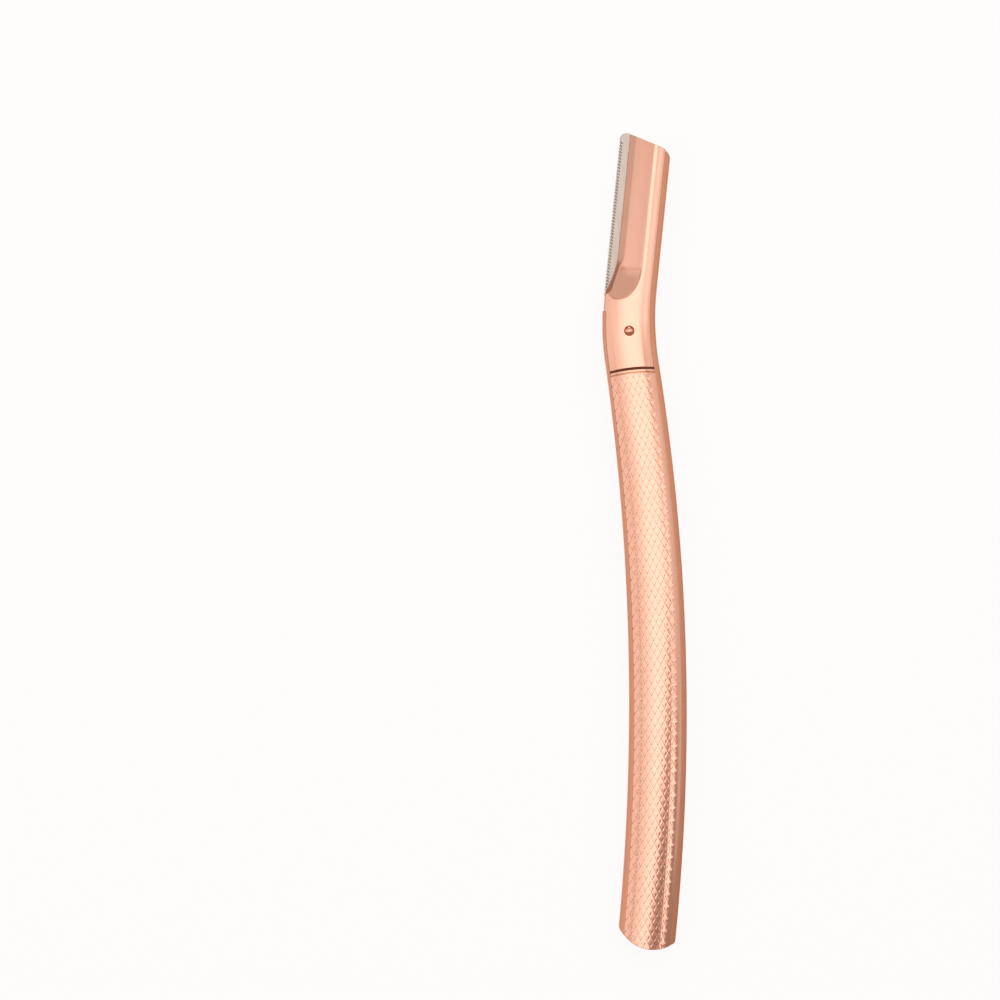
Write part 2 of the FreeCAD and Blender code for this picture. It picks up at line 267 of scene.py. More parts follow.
# an arch across the handle at a gap above the groove's lower edge
def archStation(gap):
    spread = radians(groove["spread"])
    radius = groove["archRadius"] + gap
    return stationOf(circlePoints(grooveCentre, radius, grooveAngle - spread, grooveAngle + spread))


# how far a rounded edge lies under its face, at a distance in from the edge
def edgeDrop(distance, radius):
    reach = np.clip(radius - distance, 0, radius)
    return radius - np.sqrt(radius ** 2 - reach ** 2)


edgeSteps = np.array([0.0, 0.012, 0.035, 0.07, 0.11, 0.16])
lipSteps = np.append(edgeSteps, [0.30, 0.45, 0.57, 0.63, 0.69, 0.75, 0.85])


# places along a length, close together at both ends where the edges are rounded
def edgedRun(length, count, steps=edgeSteps):
    length = np.asarray(length)[..., None]
    inner = np.linspace(0, 1, count + 2)[1:-1]
    middle = steps[-1] + (length - 2 * steps[-1]) * inner
    return np.concatenate([0 * length + steps, middle, length - steps[::-1]], -1)


# grid between two curves across the handle and two lines along it, with rows spaced by rowsOf
def fitGrid(top, foot, left, right, rowsOf, columns, steps):
    offset = np.zeros((1, columns + 2 * len(steps)))
    for _ in range(sampling["passes"]):
        start = top(offset[0])
        run = rowsOf(foot(offset[-1]) - start)
        station = start + run
        edge = left(station[:, 0])
        width = right(station[:, -1]) - edge
        sideways = edgedRun(width, columns, steps)
        offset = edge[:, None] + sideways
    fromSide = np.minimum(sideways, width[:, None] - sideways)
    return station, offset, run, fromSide


def gridFaces(rows, columns, wrap=False):
    row, column = np.meshgrid(np.arange(rows - 1), np.arange(columns - (not wrap)), indexing="ij")
    here = row * columns + column
    right = row * columns + (column + 1) % columns
    return np.stack([here, right, right + columns, here + columns], -1).reshape(-1, 4)


# closed plate from a grid of places with a top and an underside
def plateMesh(plan, top, under):
    rows, columns = top.shape
    count = rows * columns
    points = np.concatenate([np.dstack([plan, level]).reshape(-1, 3) for level in (top, under)])
    index = np.arange(count).reshape(rows, columns)
    rim = np.concatenate([index[0], index[1:, -1], index[-1, -2::-1], index[-2:0:-1, 0]])
    following = np.roll(rim, -1)
    walls = np.stack([rim, following, following + count, rim + count], -1)
    faces = gridFaces(rows, columns)
    return points, np.concatenate([faces, faces[:, ::-1] + count, walls])


def newMesh(name, points, faces):
    mesh = bpy.data.meshes.new(name)
    mesh.from_pydata(np.asarray(points).tolist(), [], [[int(i) for i in face] for face in faces])
    return mesh


def addObject(name, data):
    item = bpy.data.objects.new(name, data)
    bpy.context.scene.collection.objects.link(item)
    return item


# an object's mesh with its modifiers applied
def appliedMesh(item):
    return bpy.data.meshes.new_from_object(item.evaluated_get(bpy.context.evaluated_depsgraph_get()))


def finishMesh(piece, sharpAngle=handle["sharpAngle"]):
    work = bmesh.new()
    work.from_mesh(piece.data)
    bmesh.ops.remove_doubles(work, verts=work.verts, dist=sampling["merge"])
    bmesh.ops.dissolve_degenerate(work, edges=work.edges, dist=sampling["merge"])
    bmesh.ops.recalc_face_normals(work, faces=work.faces)
    work.to_mesh(piece.data)
    work.free()
    piece.data.shade_smooth()
    piece.data.set_sharp_from_angle(angle=radians(sharpAngle))


# mesh object from points in millimetres about the blade root
def makePiece(name, points, faces, material, sharpAngle=handle["sharpAngle"]):
    mesh = newMesh(name, (points + np.array(handle["place"])) * mm, faces)
    mesh.materials.append(material)
    piece = addObject(name, mesh)
    finishMesh(piece, sharpAngle)
    return piece


def settle(piece, node):
    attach(piece, "root")
    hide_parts(node)
    print("piece", piece.name, "for", node, "with", len(piece.data.polygons), "faces")


# stations, offsets and heights of a piece's own points
def surfacePlaces(piece):
    points = np.empty(len(piece.data.vertices) * 3)
    piece.data.vertices.foreach_get("co", points)
    points = points.reshape(-1, 3) / mm - handle["place"]
    return *centreLine.unroll(points[:, :2]), points[:, 2]


# stores the share left free of painted shade on a piece's points: 1 unshaded, 0 fully painted shade
def storeUnshadedShare(piece, relief):
    layer = piece.data.attributes.new("relief", "FLOAT", "POINT")
    layer.data.foreach_set("value", relief.astype(np.float32))


# a socket that takes part in Python expressions
class Wire:
    def __init__(self, socket):
        self.socket = socket

    @staticmethod
    def make(tree, kind, inputs=None, settings=None, output=0):
        node = tree.nodes.new(kind)
        for name, value in (settings or {}).items():
            setattr(node, name, value)
        for name, value in (inputs or {}).items():
            for one in value if isinstance(value, list) else [value]:
                if isinstance(one, Wire):
                    tree.links.new(one.socket, node.inputs[name])
                else:
                    node.inputs[name].default_value = one
        return Wire(node.outputs[output]) if node.outputs else None

    def reckon(self, operation, first, second):
        tree = self.socket.id_data
        return Wire.make(tree, "ShaderNodeMath", {0: first, 1: second}, {"operation": operation})

    def __add__(self, other):
        return self.reckon("ADD", self, other)

    __radd__ = __add__

    def __sub__(self, other):
        return self.reckon("SUBTRACT", self, other)

    def __rsub__(self, other):
        return self.reckon("SUBTRACT", other, self)

    def __mul__(self, other):
        return self.reckon("MULTIPLY", self, other)


def newMaterial(name):
    material = bpy.data.materials.new(name)
    material.use_nodes = True
    material.node_tree.nodes.clear()
    return material, material.node_tree


def objectCoords(tree, scale=(1, 1, 1), turn=(0, 0, 0)):
    place = Wire.make(tree, "ShaderNodeTexCoord", output="Object")
    return Wire.make(tree, "ShaderNodeMapping", {"Vector": place, "Scale": scale, "Rotation": turn})


def noise(tree, coords, scale, detail):
    return Wire.make(tree, "ShaderNodeTexNoise", {"Vector": coords, "Scale": scale, "Detail": detail})


def bumpFrom(tree, height, strength, depth):
    return Wire.make(tree, "ShaderNodeBump", {"Strength": strength, "Distance": depth, "Height": height})


def blendColors(tree, factor, first, second):
    return Wire.make(tree, "ShaderNodeMix", {0: factor, 6: first, 7: second}, {"data_type": "RGBA"}, 2)


def closeMaterial(tree, sockets):
    shader = Wire.make(tree, "ShaderNodeBsdfPrincipled", sockets)
    Wire.make(tree, "ShaderNodeOutputMaterial", {"Surface": shader})


noiseMean = 0.5
plating = {
    "color": (0.92, 0.475, 0.325, 1),
    "deepColor": (0.89, 0.43, 0.28, 1),
    "railColor": (0.86, 0.37, 0.21, 1),
    "cloudScale": 260.0,
    "cloudDetail": 2.0,
    "grainScale": 5200.0,
    "grainDetail": 3.0,
    "grainStrength": 0.35,
    "grainDepth": 1.2e-6,
    "roughnessSpread": 0.08,
    "coatSpread": 0.1,
    "coatIor": 2.1,
}
# color, roughness, weight and roughness of the coat, and the painted shade color
plates = {
    "roseGoldSmooth": (plating["color"], 0.2, 1.0, 0.1, None),
    "roseGoldKnurl": (plating["color"], 0.16, 1.0, 0.1, (0.60, 0.26, 0.15, 1)),
    "roseGoldRail": (plating["railColor"], 0.34, 0.2, 0.25, (0.13, 0.045, 0.026, 1)),
    "polishedPin": (plating["color"], 0.12, 0.4, 0.05, (0.08, 0.025, 0.014, 1)),
}


# rose-gold plating under clear lacquer: faint clouding, satin grain, and painted shade where the stored
# share is low
def platingMaterial(name, color, roughness, coat, coatRoughness, paintedShadeColor):
    material, tree = newMaterial(name)
    coords = objectCoords(tree)
    cloud = noise(tree, coords, plating["cloudScale"], plating["cloudDetail"])
    grain = noise(tree, coords, plating["grainScale"], plating["grainDetail"])
    shade = blendColors(tree, cloud, color, plating["deepColor"])
    gloss = coat + (cloud - noiseMean) * plating["coatSpread"]
    # painted shade: where the stored share is low, the base color turns to the shade color and the coat
    # thins
    if paintedShadeColor:
        relief = Wire.make(tree, "ShaderNodeAttribute", None, {"attribute_name": "relief"}, "Fac")
        shade = blendColors(tree, 1.0 - relief, shade, paintedShadeColor)
        gloss = gloss * relief
    closeMaterial(
        tree,
        {
            "Base Color": shade,
            "Roughness": roughness + (cloud + grain - 2 * noiseMean) * plating["roughnessSpread"],
            "Metallic": 1.0,
            "Coat Weight": gloss,
            "Coat Roughness": coatRoughness,
            "Coat IOR": plating["coatIor"],
            "Normal": bumpFrom(tree, grain, plating["grainStrength"], plating["grainDepth"]),
        },
    )
    return material


steel = {
    "lineScale": 5400.0,
    "lineDetail": 3.0,
    "lineStrength": 0.3,
    "lineDepth": 2e-6,
    "lineShare": 0.6,  # of the mottling; the rest is cloud
    "cloudScale": 300.0,
    "cloudDetail": 2.0,
    "roughnessSpread": 0.14,
    "stretch": 0.03,
}
# color, dark color, roughness and stretch, which lays the lines across the blade and along the guard
steels = {
    "groundSteel": ((0.18, 0.165, 0.15, 1), (0.12, 0.11, 0.10, 1), 0.3, (steel["stretch"], 1, 1)),
    "guardFoil": ((0.85, 0.78, 0.71, 1), (0.72, 0.635, 0.57, 1), 0.5, (1, steel["stretch"], 1)),
}


def steelMaterial(name, color, darkColor, roughness, stretch):
    material, tree = newMaterial(name)
    coords = objectCoords(tree, stretch, (0, 0, lean))
    lines = noise(tree, coords, steel["lineScale"], steel["lineDetail"])
    cloud = noise(tree, objectCoords(tree), steel["cloudScale"], steel["cloudDetail"])
    mottling = lines * steel["lineShare"] + cloud * (1 - steel["lineShare"])
    closeMaterial(
        tree,
        {
            "Base Color": blendColors(tree, mottling, color, darkColor),
            "Roughness": roughness + lines * steel["roughnessSpread"],
            "Metallic": 1.0,
            "Normal": bumpFrom(tree, lines, steel["lineStrength"], steel["lineDepth"]),
        },
    )
    return material


smoothPlate, knurlPlate, railPlate, pinPlate = [platingMaterial(name, *plates[name]) for name in plates]
bladeSteel, guardFoil = [steelMaterial(name, *steels[name]) for name in steels]
print("materials made")


pin = {
    "station": 6.85,
    "shankRadius": 0.65,
    "headRadius": 0.95,
    "headHeight": 0.45,
    "seat": 2.5,
    "play": 0.05,
    "paintedRimShade": 0.12,  # width over which painted shade darkens the dome's rim
    "paintedRimDark": 0.2,  # share of it painted fully dark
    "axisRadius": 0.001,
    "turns": 56,
    "domeSteps": 12,
}


# solid turned about the pin's upright axis, from a profile of radius and height
def turned(profile):
    count = pin["turns"]
    turn = np.linspace(0, 2 * pi, count, endpoint=False)
    ring = np.stack([np.cos(turn), np.sin(turn)], -1)
    plan = centreLine.place(pin["station"]) + profile[:, None, :1] * ring
    height = np.broadcast_to(profile[:, None, 1:], plan.shape[:2] + (1,))
    points = np.concatenate([plan, height], -1).reshape(-1, 3)
    last = (len(profile) - 1) * count
    ends = [list(range(first, first + count)) for first in (0, last)]
    return points, gridFaces(len(profile), count, True).tolist() + ends


def pinMesh():
    radius, height = pin["headRadius"], pin["headHeight"]
    domeRadius = (radius ** 2 + height ** 2) / (2 * height)
    reach = np.linspace(pin["axisRadius"], radius, pin["domeSteps"])
    rise = pin["seat"] + height - domeRadius + np.sqrt(domeRadius ** 2 - reach ** 2)
    upper = np.concatenate([np.stack([reach, rise], -1), [[pin["shankRadius"], pin["seat"]]]])
    return turned(np.concatenate([upper, upper[::-1] * [1, -1]]))


# hole for the shank and counterbore for the head, cut through a cover on one face
def boreCover(piece, flip):
    axis, seat = pin["axisRadius"], pin["seat"]
    shank, head = pin["shankRadius"] + pin["play"], pin["headRadius"] + pin["play"]
    low, high = -seat, 2 * seat
    profile = [[axis, low], [shank, low], [shank, seat], [head, seat], [head, high], [axis, high]]
    points, faces = turned(np.array(profile) * [1, flip])
    cutter = makePiece("pin_bore", points, faces, smoothPlate)
    bore = piece.modifiers.new("bore", "BOOLEAN")
    bore.operation, bore.solver, bore.object = "DIFFERENCE", "EXACT", cutter
    piece.data = appliedMesh(piece)
    piece.modifiers.remove(bore)
    bpy.data.objects.remove(cutter)
    finishMesh(piece)


# 1 on the dome, 0 round its rim, where a dark ring of shade is painted
def pinUnshadedShare(piece):
    station, offset = surfacePlaces(piece)[:2]
    reach = np.hypot(station - pin["station"], offset)
    return np.clip((pin["headRadius"] - reach) / pin["paintedRimShade"] - pin["paintedRimDark"], 0, 1)


neckPin = makePiece("domed_pin", *pinMesh(), pinPlate)
storeUnshadedShare(neckPin, pinUnshadedShare(neckPin))
settle(neckPin, "neck_pin")


cover = {
    "exposure": 1.85,  # strip of guard left bare beside the lip
    "lipArcStart": 8.6,
    "lipArcRadius": 17.0,
    "lipHeight": 0.45,
    "lipBevel": 34.0,
    "lipFade": 8.0,  # rise below which the bevel runs out towards the ear
    "lipFadeHeight": 1.3,
    "lipSoftness": 0.05,
    "facetEdge": 0.9,
    "facetHollow": 0.12,
    "ridgeInset": 3.0,
    "ridgeSoftness": 0.35,
    "scoopRoot": 6.2,
    "earSetback": 0.18,
    "shoulderDrop": 2.45,
    "edgeRound": 0.08,
    "leastRound": 0.001,
    "bladeGap": 0.33,
    "bladeRootLine": 5.32,
    "webHalf": 0.92,
    "rows": 330,
    "columns": 52,
}


# lower of two heights with a rounded crease between them
def softMin(first, second, softness):
    overlap = np.maximum(softness - np.abs(first - second), 0) / softness
    return np.minimum(first, second) - overlap ** 2 * softness / 4


# height of the hollow-ground facet at a distance from the blade edge
def facetHeight(distance):
    ridge = handle["headWidth"] - cover["ridgeInset"]
    start = cover["exposure"]
    low, high = cover["facetEdge"], crown(ridge - centreInward)
    sag = (low + high) / 2 - cover["facetHollow"]
    curve = np.polyfit([start, (start + ridge) / 2, ridge], [low, sag, high], 2)
    return np.polyval(curve, np.maximum(distance, start))


# crown cut by the facet, which swings round at the scoop's root, and by the lip's bevel
def coverHeight(plan, offset):
    inward, rise = headCoords(plan)
    swung = np.hypot(inward, rise - cover["scoopRoot"])
    facet = facetHeight(np.where(rise >= cover["scoopRoot"], inward, swung))
    height = softMin(crown(offset), facet, cover["ridgeSoftness"])
    start, reach = cover["lipArcStart"], cover["lipArcRadius"]
    straight = inward - cover["exposure"]
    curved = np.hypot(straight + reach, rise - start) - reach
    fromLip = np.where(rise >= start, straight, curved)
    fade = np.clip(1 - rise / cover["lipFade"], 0, 2)
    bevel = cover["lipHeight"] + fromLip * tan(radians(cover["lipBevel"]))
    return softMin(height, bevel + fade ** 2 * cover["lipFadeHeight"], cover["lipSoftness"])


# offset of the cover's blade side: lip, ear, then the seam along the rail
def coverLeft(station):
    rise = headCoords(centreLine.place(station, -centreInward))[1]
    reach = cover["lipArcRadius"]
    below = np.clip(cover["lipArcStart"] - rise, 0, reach)
    lip = cover["exposure"] - reach - centreInward + np.sqrt(reach ** 2 - below ** 2)
    ear = offsetOf(bladeSide.moved(cover["earSetback"]))(station)
    return np.where(rise > -cover["shoulderDrop"], np.maximum(lip, ear), bladeSeam(station))


def coverMesh():
    def rows(length):
        return edgedRun(length, cover["rows"]).T

    foot = archStation(groove["width"])
    grid = fitGrid(topStation, foot, coverLeft, spineSeam, rows, cover["columns"], lipSteps)
    station, offset, run, fromSide = grid
    plan = centreLine.place(station, offset)
    inward, rise = headCoords(plan)
    seated = (inward < cover["bladeRootLine"]) & (rise > -cover["shoulderDrop"])
    under = np.where(seated, cover["bladeGap"], cover["webHalf"])
    height = coverHeight(plan, offset)
    fromEdge = np.minimum(fromSide, np.minimum(run, run[-1] - run))
    rounding = np.clip((height - under) / 2, cover["leastRound"], cover["edgeRound"])
    return plateMesh(plan, height - edgeDrop(fromEdge, rounding), under)


coverPoints, coverFaces = coverMesh()
for name, node, flip in (("front_cover", "front_head_cover", 1), ("back_cover", "back_head_cover", -1)):
    piece = makePiece(name, coverPoints * [1, 1, flip], coverFaces, smoothPlate)
    boreCover(piece, flip)
    settle(piece, node)


rail = {
    "halfHeight": 2.0,
    "webHalf": 0.9,
    "webMargin": 0.02,  # height over the web that still counts as web
    "railRound": 0.85,
    "innerWall": 0.985,
    "railStep": 0.1,  # from the covers down to the rails
    "endMargin": 0.3,  # no shade is painted on the web this close to its ends
    "shoulderDrop": 2.5,
    "shoulderReach": (-4, 14),  # how far across the head its line is drawn
    "seatLine": 5.37,  # where the web stops beside the blade
    "headRows": 60,
    "gripRows": 240,
    "roundSteps": 9,
    "webSteps": 8,
}
roundInset = rail["railRound"] * (1 - np.sin(np.linspace(0, pi / 2, rail["roundSteps"])))

# half a rail's section: web corner, inner wall, then round to the outside
railInset = np.concatenate([[rail["innerWall"]] * 2, roundInset])
railTop = np.concatenate([[rail["webHalf"]], np.full(len(roundInset) + 1, rail["halfHeight"])])


# half a section and its mirror image under it
def mirrored(half):
    return np.concatenate([half, half[::-1]])


# strip of the frame between two curves across it, swept along one side of the handle
def frameStrip(side, toward, narrowing, top, foot, rows, roundTop, roundFoot):
    seat = rail["seatLine"] - centreInward
    share = np.linspace(0, 1, rail["webSteps"], endpoint=False)
    inset = mirrored(np.concatenate([0 * share + rail["innerWall"], railInset]))
    onWeb = mirrored(np.concatenate([1 - share, 0 * railInset]))  # 1 on the seat line, 0 on the rail
    limit = mirrored(np.concatenate([0 * share + rail["webHalf"], railTop]))
    sign = np.repeat([1, -1], len(inset) // 2)
    offset = np.full((2, len(inset)), seat)
    for _ in range(sampling["passes"]):
        start = top(offset[0])
        run = edgedRun(foot(offset[-1]) - start, rows, roundInset[::-1]).T
        station = start + run
        width = inset * narrowing(station)
        offset = (side(station) + toward * width) * (1 - onWeb) + seat * onWeb
    fromEnd = np.minimum(run if roundTop else np.inf, run[-1] - run if roundFoot else np.inf)
    drop = edgeDrop(np.minimum(width, fromEnd), rail["railRound"])
    under = np.minimum(rail["halfHeight"] - drop, crown(offset) - rail["railStep"])
    height = sign * np.minimum(limit, under)
    return np.dstack([centreLine.place(station, offset), height])


# faces that close the end of a strip, from its top half to its bottom half
def endFaces(row, columns):
    first = row * columns
    last = first + columns - 1
    return np.array([[first + n, first + n + 1, last - n - 1, last - n] for n in range(columns // 2 - 1)])


def frameMesh():
    butt = roundedButt()
    reach = np.linspace(*rail["shoulderReach"], sampling["curve"])
    shoulder = stationOf(headPlace(reach, -rail["shoulderDrop"]))
    headRows, gripRows = rail["headRows"], rail["gripRows"]

    def bladeShare(station):
        return bladeRail(station) / handle["railWidth"]

    head = frameStrip(spineEdge, -1, np.ones_like, topStation, shoulder, headRows, True, False)
    grip = frameStrip(spineEdge, -1, np.ones_like, shoulder, butt, gripRows, False, True)
    blade = frameStrip(bladeEdge, 1, bladeShare, shoulder, butt, gripRows, False, True)
    points, faces, count = [], [], 0
    ends = ((head, (0,), True), (grip, (-1,), False), (blade, (0, -1), False))
    for strip, closed, seated in ends:
        rows, columns = strip.shape[:2]
        points.append(strip.reshape(-1, 3))
        faces.append(gridFaces(rows, columns, seated) + count)
        faces += [endFaces(row % rows, columns) + count for row in closed]
        count += rows * columns
    return np.concatenate(points), np.concatenate(faces)


# 1 on the rails and the ends of the frame, 0 on the web between them, where shade is painted in the gap
# between cover and scale
def railUnshadedShare(piece):
    station, offset, height = surfacePlaces(piece)
    fromBlade = offset - bladeEdge(station) - bladeRail(station)
    fromSpine = spineEdge(station) - offset - handle["railWidth"]
    low = np.abs(height) < rail["webHalf"] + rail["webMargin"]
    onWeb = low & (np.minimum(fromBlade, fromSpine) > 0)
    fromEnd = np.minimum(station - topStation(offset), fromButt(station, offset))
    return np.where(onWeb & (fromEnd > rail["endMargin"]), 0.0, 1.0)


rails = makePiece("frame_rails", *frameMesh(), railPlate)
storeUnshadedShare(rails, railUnshadedShare(rails))
settle(rails, "centre_frame")


# inputs of a lattice, named like a piece's settings
latticeInputs = {
    "geometry": "Geometry",
    "cellWidth": "Float",
    "cellHeight": "Float",
    "columns": "Int",
    "rows": "Int",
    "weld": "Float",
    "finish": "Material",
}


# lattice of copies: a grid of points, and where it is staggered a second one half a cell away
def latticeTree(name, staggered):
    tree = bpy.data.node_groups.new(name, "GeometryNodeTree")
    for label, kind in latticeInputs.items():
        tree.interface.new_socket(label, in_out="INPUT", socket_type="NodeSocket" + kind)
    tree.interface.new_socket("Geometry", in_out="OUTPUT", socket_type="NodeSocketGeometry")
    source = tree.nodes.new("NodeGroupInput")
    sizes = {label: Wire(source.outputs[label]) for label in latticeInputs}

    def add(kind, inputs):
        return Wire.make(tree, "GeometryNode" + kind, inputs)

    extent = {
        "Size X": sizes["cellWidth"] * (sizes["columns"] - 1.0),
        "Size Y": sizes["cellHeight"] * (sizes["rows"] - 1.0),
        "Vertices X": sizes["columns"],
        "Vertices Y": sizes["rows"],
    }
    grid = add("MeshGrid", extent)
    places = [grid]
    if staggered:
        half = {"X": sizes["cellWidth"] * 0.5, "Y": sizes["cellHeight"] * 0.5}
        shift = Wire.make(tree, "ShaderNodeCombineXYZ", half)
        places.append(add("Transform", {"Geometry": grid, "Translation": shift}))
    points = add("MeshToPoints", {"Mesh": add("JoinGeometry", {"Geometry": places})})
    copies = add("InstanceOnPoints", {"Points": points, "Instance": sizes["geometry"]})
    real = add("RealizeInstances", {"Geometry": copies})
    welded = add("MergeByDistance", {"Geometry": real, "Distance": sizes["weld"]})
    finished = add("SetMaterial", {"Geometry": welded, "Material": sizes["finish"]})
    Wire.make(tree, "NodeGroupOutput", {"Geometry": finished})
    return tree


# runs a lattice with a piece's settings on a small mesh in millimetres
def repeated(tree, points, faces, settings, finish):
    seed = addObject(tree.name, newMesh(tree.name, points, faces))
    modifier = seed.modifiers.new(tree.name, "NODES")
    modifier.node_group = tree
    values = {**settings, "finish": finish}
    for socket in tree.interface.items_tree:
        if socket.in_out == "INPUT" and socket.name in values:
            modifier[socket.identifier] = values[socket.name]
    result = appliedMesh(seed)
    bpy.data.objects.remove(seed)
    return result


# keeps what lies behind each plane, a point on it and its outward direction in plan; creases only split
def trimmed(mesh, planes, creases=()):
    work = bmesh.new()
    work.from_mesh(mesh)
    for number, (place, outward) in enumerate([*planes, *creases]):
        bmesh.ops.bisect_plane(
            work,
            geom=work.verts[:] + work.edges[:] + work.faces[:],
            dist=sampling["split"],
            plane_co=(*place, 0),
            plane_no=(*outward, 0),
            clear_outer=number < len(planes),
        )
    bmesh.ops.remove_doubles(work, verts=work.verts, dist=sampling["weld"])
    return work


# points and faces of a finished working mesh, which is freed
def meshArrays(work):
    work.verts.index_update()
    points = np.array([vert.co[:] for vert in work.verts])
    faces = [[vert.index for vert in face.verts] for face in work.faces]
    work.free()
    return points, faces


# planes along a convex curve in plan, facing away from a point inside it
def curvePlanes(points, inside):
    planes = []
    for start, end in zip(points, points[1:]):
        outward = np.array([end[1] - start[1], start[0] - end[0]])
        outward = outward / np.linalg.norm(outward)
        if outward @ (start - inside) < 0:
            outward = -outward
        planes.append((start, outward))
    return planes


knurl = {
    "cellWidth": 1.2,
    "cellHeight": 2.25,
    "depth": 0.15,  # height of the tops over the crown
    "grooveDepth": 0.022,
    "flatSink": 0.02,  # keeps the corners of a flat lozenge under the crown
    "slopeStep": 0.16,  # over which the crown's slope is taken
    "grooveProfile": ((0, 0.02, 0.045, 0.5), (1, 0.4, 0, 0)),  # share of a cell, share of the depth
    "grooveRun": ((0, 0.15, 0.5, 0.955, 1), (0, 0.05, 0.45, 0.9, 1)),  # the same down a groove
    "cellSteps": (0, 0.02, 0.045, 0.3, 0.6, 0.955, 0.98, 1),
    "nudge": 1e-4,  # puts a point on a line in the lozenge above it
    "plainFrom": 3.3,  # lozenges centred further towards the spine are left plain
    "plainStep": 0.03,
    "plainFall": 0.03,
    "rimWidth": 0.16,
    "shadeFrom": 0.07,  # depth where painted shade starts on the plating, and by which it is full
    "shadeTo": 0.12,
    "lipWidth": 0.42,
    "lipMargin": 0.001,
    "lipRows": 3,
    "lipColumns": 40,
    "notchWidth": 0.25,
    "edgeRound": 0.07,
    "under": 0.92,
    "columns": 9,
    "rows": 51,
    "weld": 0.001,
    "archPlanes": 8,
    "buttPlanes": 18,
    "sharpAngle": 8.0,
}
knurlStart = archStation(-knurl["lipWidth"] - knurl["notchWidth"])
gripMiddle = (groove["station"] + handle["length"]) / 2
gripWidth = spineSeam(gripMiddle) - bladeSeam(gripMiddle)


# offset of a place in the flat lattice, which widens with the grip
def spreadOffset(sideways, station):
    left, right = bladeSeam(station), spineSeam(station)
    return (left + right) / 2 + sideways * (right - left) / gripWidth


# a place counted in lozenges along the two diagonals of the lattice
def diagonals(sideways, station):
    column, row = sideways / knurl["cellWidth"], (station - gripMiddle) / knurl["cellHeight"]
    return row + column, row - column


# depth of the grooves as a share: each deepens down to the lower tip of the lozenge above it
def grooveShare(sideways, station):
    pair = diagonals(sideways, station)
    shares = []
    for first, second in (pair, pair[::-1]):
        edge = np.abs(first - np.round(first))
        run = np.mod(second - knurl["nudge"], 1)
        shares.append(np.interp(edge, *knurl["grooveProfile"]) * np.interp(run, *knurl["grooveRun"]))
    return np.maximum(*shares)


# how far across the grip the middle of a place's lozenge is
def lozengeMiddle(sideways, station):
    first, second = diagonals(sideways, station)
    steps = np.floor(first - knurl["nudge"]) - np.floor(second + knurl["nudge"])
    return steps / 2 * knurl["cellWidth"]


# whether a place is on the line between two lozenges
def onLine(sideways, station):
    near = [np.abs(run - np.round(run)) for run in diagonals(sideways, station)]
    return np.minimum(*near) < knurl["cellSteps"][1] / 2


# whether a place is in a lozenge along the spine that is left plain
def isPlain(sideways, station):
    return lozengeMiddle(sideways, station) > knurl["plainFrom"]


# height of the flat top of a place's lozenge, which follows the crown along its middle
def lozengeTop(sideways, station, offset):
    middle = spreadOffset(lozengeMiddle(sideways, station), station)
    step = knurl["slopeStep"]
    slope = (crown(middle + step) - crown(middle - step)) / (2 * step)
    flat = crown(middle) + slope * (offset - middle)
    return np.where(onLine(sideways, station), crown(offset), flat) - knurl["flatSink"]


def lozengeCell():
    steps = np.array(knurl["cellSteps"])
    first, second = np.meshgrid(steps, steps, indexing="ij")
    sideways = (first - second) * knurl["cellWidth"] / 2
    station = (first + second) * knurl["cellHeight"] / 2
    points = np.dstack([sideways, station, 0 * station]).reshape(-1, 3)
    return points, gridFaces(len(steps), len(steps))


# curve across the grip in the flat lattice's own coordinates
def flatCurve(stationAt, count):
    sideways = np.linspace(-gripWidth / 2, gripWidth / 2, count + 1)
    station = np.full(count + 1, gripMiddle)
    for _ in range(sampling["passes"]):
        station = stationAt(spreadOffset(sideways, station))
    return np.stack([sideways, station - gripMiddle], -1)


# flat lattice trimmed to the grip, with walls and a floor whose points are marked
def knurlBlank():
    lattice = repeated(latticeTree("knurl_lattice", True), *lozengeCell(), knurl, knurlPlate)
    middle, outward = np.zeros(2), np.array([1, 0])
    planes = [(side * outward * gripWidth / 2, side * outward) for side in (-1, 1)]
    planes += curvePlanes(flatCurve(knurlStart, knurl["archPlanes"]), middle)
    planes += curvePlanes(flatCurve(plainButt(handle["seam"]), knurl["buttPlanes"]), middle)
    rimCurve = flatCurve(plainButt(handle["seam"] + knurl["rimWidth"]), knurl["buttPlanes"])
    work = trimmed(lattice, planes, curvePlanes(rimCurve, middle))
    rim = [edge for edge in work.edges if edge.is_boundary]
    walls = bmesh.ops.extrude_edge_only(work, edges=rim)["geom"]
    work.verts.index_update()
    floor = [item.index for item in walls if isinstance(item, bmesh.types.BMVert)]
    rim = [item for item in walls if isinstance(item, bmesh.types.BMEdge) and item.is_boundary]
    bmesh.ops.triangle_fill(work, edges=rim, use_beauty=True)
    points, faces = meshArrays(work)
    return points, faces, np.isin(np.arange(len(points)), floor)


def knurlMesh():
    flat, faces, onFloor = knurlBlank()
    sideways, station = flat[:, 0], flat[:, 1] + gripMiddle
    offset = spreadOffset(sideways, station)
    past = np.clip((sideways - knurl["plainFrom"]) / (gripWidth / 2 - knurl["plainFrom"]), 0, 1)
    plain = knurl["plainStep"] + past * knurl["plainFall"]
    roof = crown(offset)
    top = lozengeTop(sideways, station, offset) - knurl["grooveDepth"] * grooveShare(sideways, station)
    top = np.where(isPlain(sideways, station), roof - plain, np.minimum(top, roof))
    rim = roof - edgeDrop(fromButt(station, offset), knurl["rimWidth"])
    height = np.where(onFloor, knurl["under"], np.minimum(top, rim) + knurl["depth"])
    return np.column_stack([centreLine.place(station, offset), height]), faces


